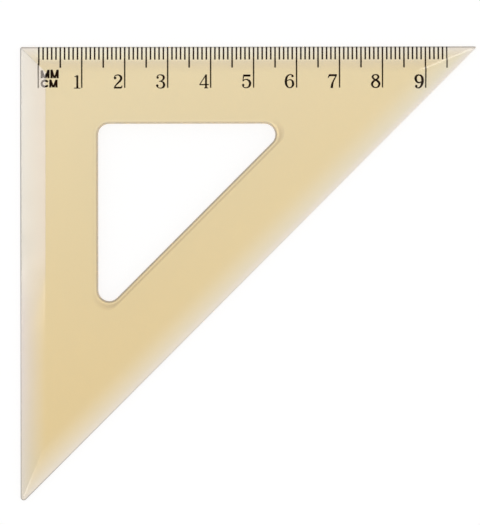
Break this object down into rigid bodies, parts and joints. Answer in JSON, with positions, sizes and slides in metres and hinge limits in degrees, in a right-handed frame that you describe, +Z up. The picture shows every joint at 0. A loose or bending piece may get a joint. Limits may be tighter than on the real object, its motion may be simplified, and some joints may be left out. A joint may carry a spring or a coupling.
{
  "type": "drafting triangle",
  "caption": "Flat right-angled 45 degree drafting triangle of clear amber plastic, bevelled on all edges, with a triangular window and a millimetre scale under one leg.",
  "frame": {"origin": "middle of the box of the triangle, on the plane of its flat underside", "axes": "+X along the graduated leg from the right angle to the far tip, +Y out of the graduated edge, +Z up from the underside to the bevelled face"},
  "size_m": [0.1062, 0.1056, 0.002],
  "materials": {
    "amber_plastic": "clear amber polystyrene, moulded glossy, tinted through its thickness",
    "scale_foil": "dark brown-black foil, hot-stamped",
    "figure_foil": "dark brown-black foil, hot-stamped, laid thicker"
  },
  "bodies": {
    "root": {"moulded_blank": "amber_plastic", "centimetre_mark_0": "scale_foil", "centimetre_mark_1": "scale_foil", "centimetre_mark_2": "scale_foil", "centimetre_mark_3": "scale_foil", "centimetre_mark_4": "scale_foil", "centimetre_mark_5": "scale_foil", "centimetre_mark_6": "scale_foil", "centimetre_mark_7": "scale_foil", "centimetre_mark_8": "scale_foil", "centimetre_mark_9": "scale_foil", "half_centimetre_mark_5": "scale_foil", "half_centimetre_mark_15": "scale_foil", "half_centimetre_mark_25": "scale_foil", "half_centimetre_mark_35": "scale_foil", "half_centimetre_mark_45": "scale_foil", "half_centimetre_mark_55": "scale_foil", "half_centimetre_mark_65": "scale_foil", "half_centimetre_mark_75": "scale_foil", "half_centimetre_mark_85": "scale_foil", "half_centimetre_mark_95": "scale_foil", "millimetre_marks_1_to_4": "scale_foil", "millimetre_marks_6_to_9": "scale_foil", "millimetre_marks_11_to_14": "scale_foil", "millimetre_marks_16_to_19": "scale_foil", "millimetre_marks_21_to_24": "scale_foil", "millimetre_marks_26_to_29": "scale_foil", "millimetre_marks_31_to_34": "scale_foil", "millimetre_marks_36_to_39": "scale_foil", "millimetre_marks_41_to_44": "scale_foil", "millimetre_marks_46_to_49": "scale_foil", "millimetre_marks_51_to_54": "scale_foil", "millimetre_marks_56_to_59": "scale_foil", "millimetre_marks_61_to_64": "scale_foil", "millimetre_marks_66_to_69": "scale_foil", "millimetre_marks_71_to_74": "scale_foil", "millimetre_marks_76_to_79": "scale_foil", "millimetre_marks_81_to_84": "scale_foil", "millimetre_marks_86_to_89": "scale_foil", "millimetre_marks_91_to_94": "scale_foil", "numeral_1": "figure_foil", "numeral_2": "figure_foil", "numeral_3": "figure_foil", "numeral_4": "figure_foil", "numeral_5": "figure_foil", "numeral_6": "figure_foil", "numeral_7": "figure_foil", "numeral_8": "figure_foil", "numeral_9": "figure_foil", "unit_cm_letter_1": "figure_foil", "unit_cm_letter_2": "figure_foil", "unit_mm_letter_1": "figure_foil", "unit_mm_letter_2": "figure_foil"}
  },
  "joints": []
}
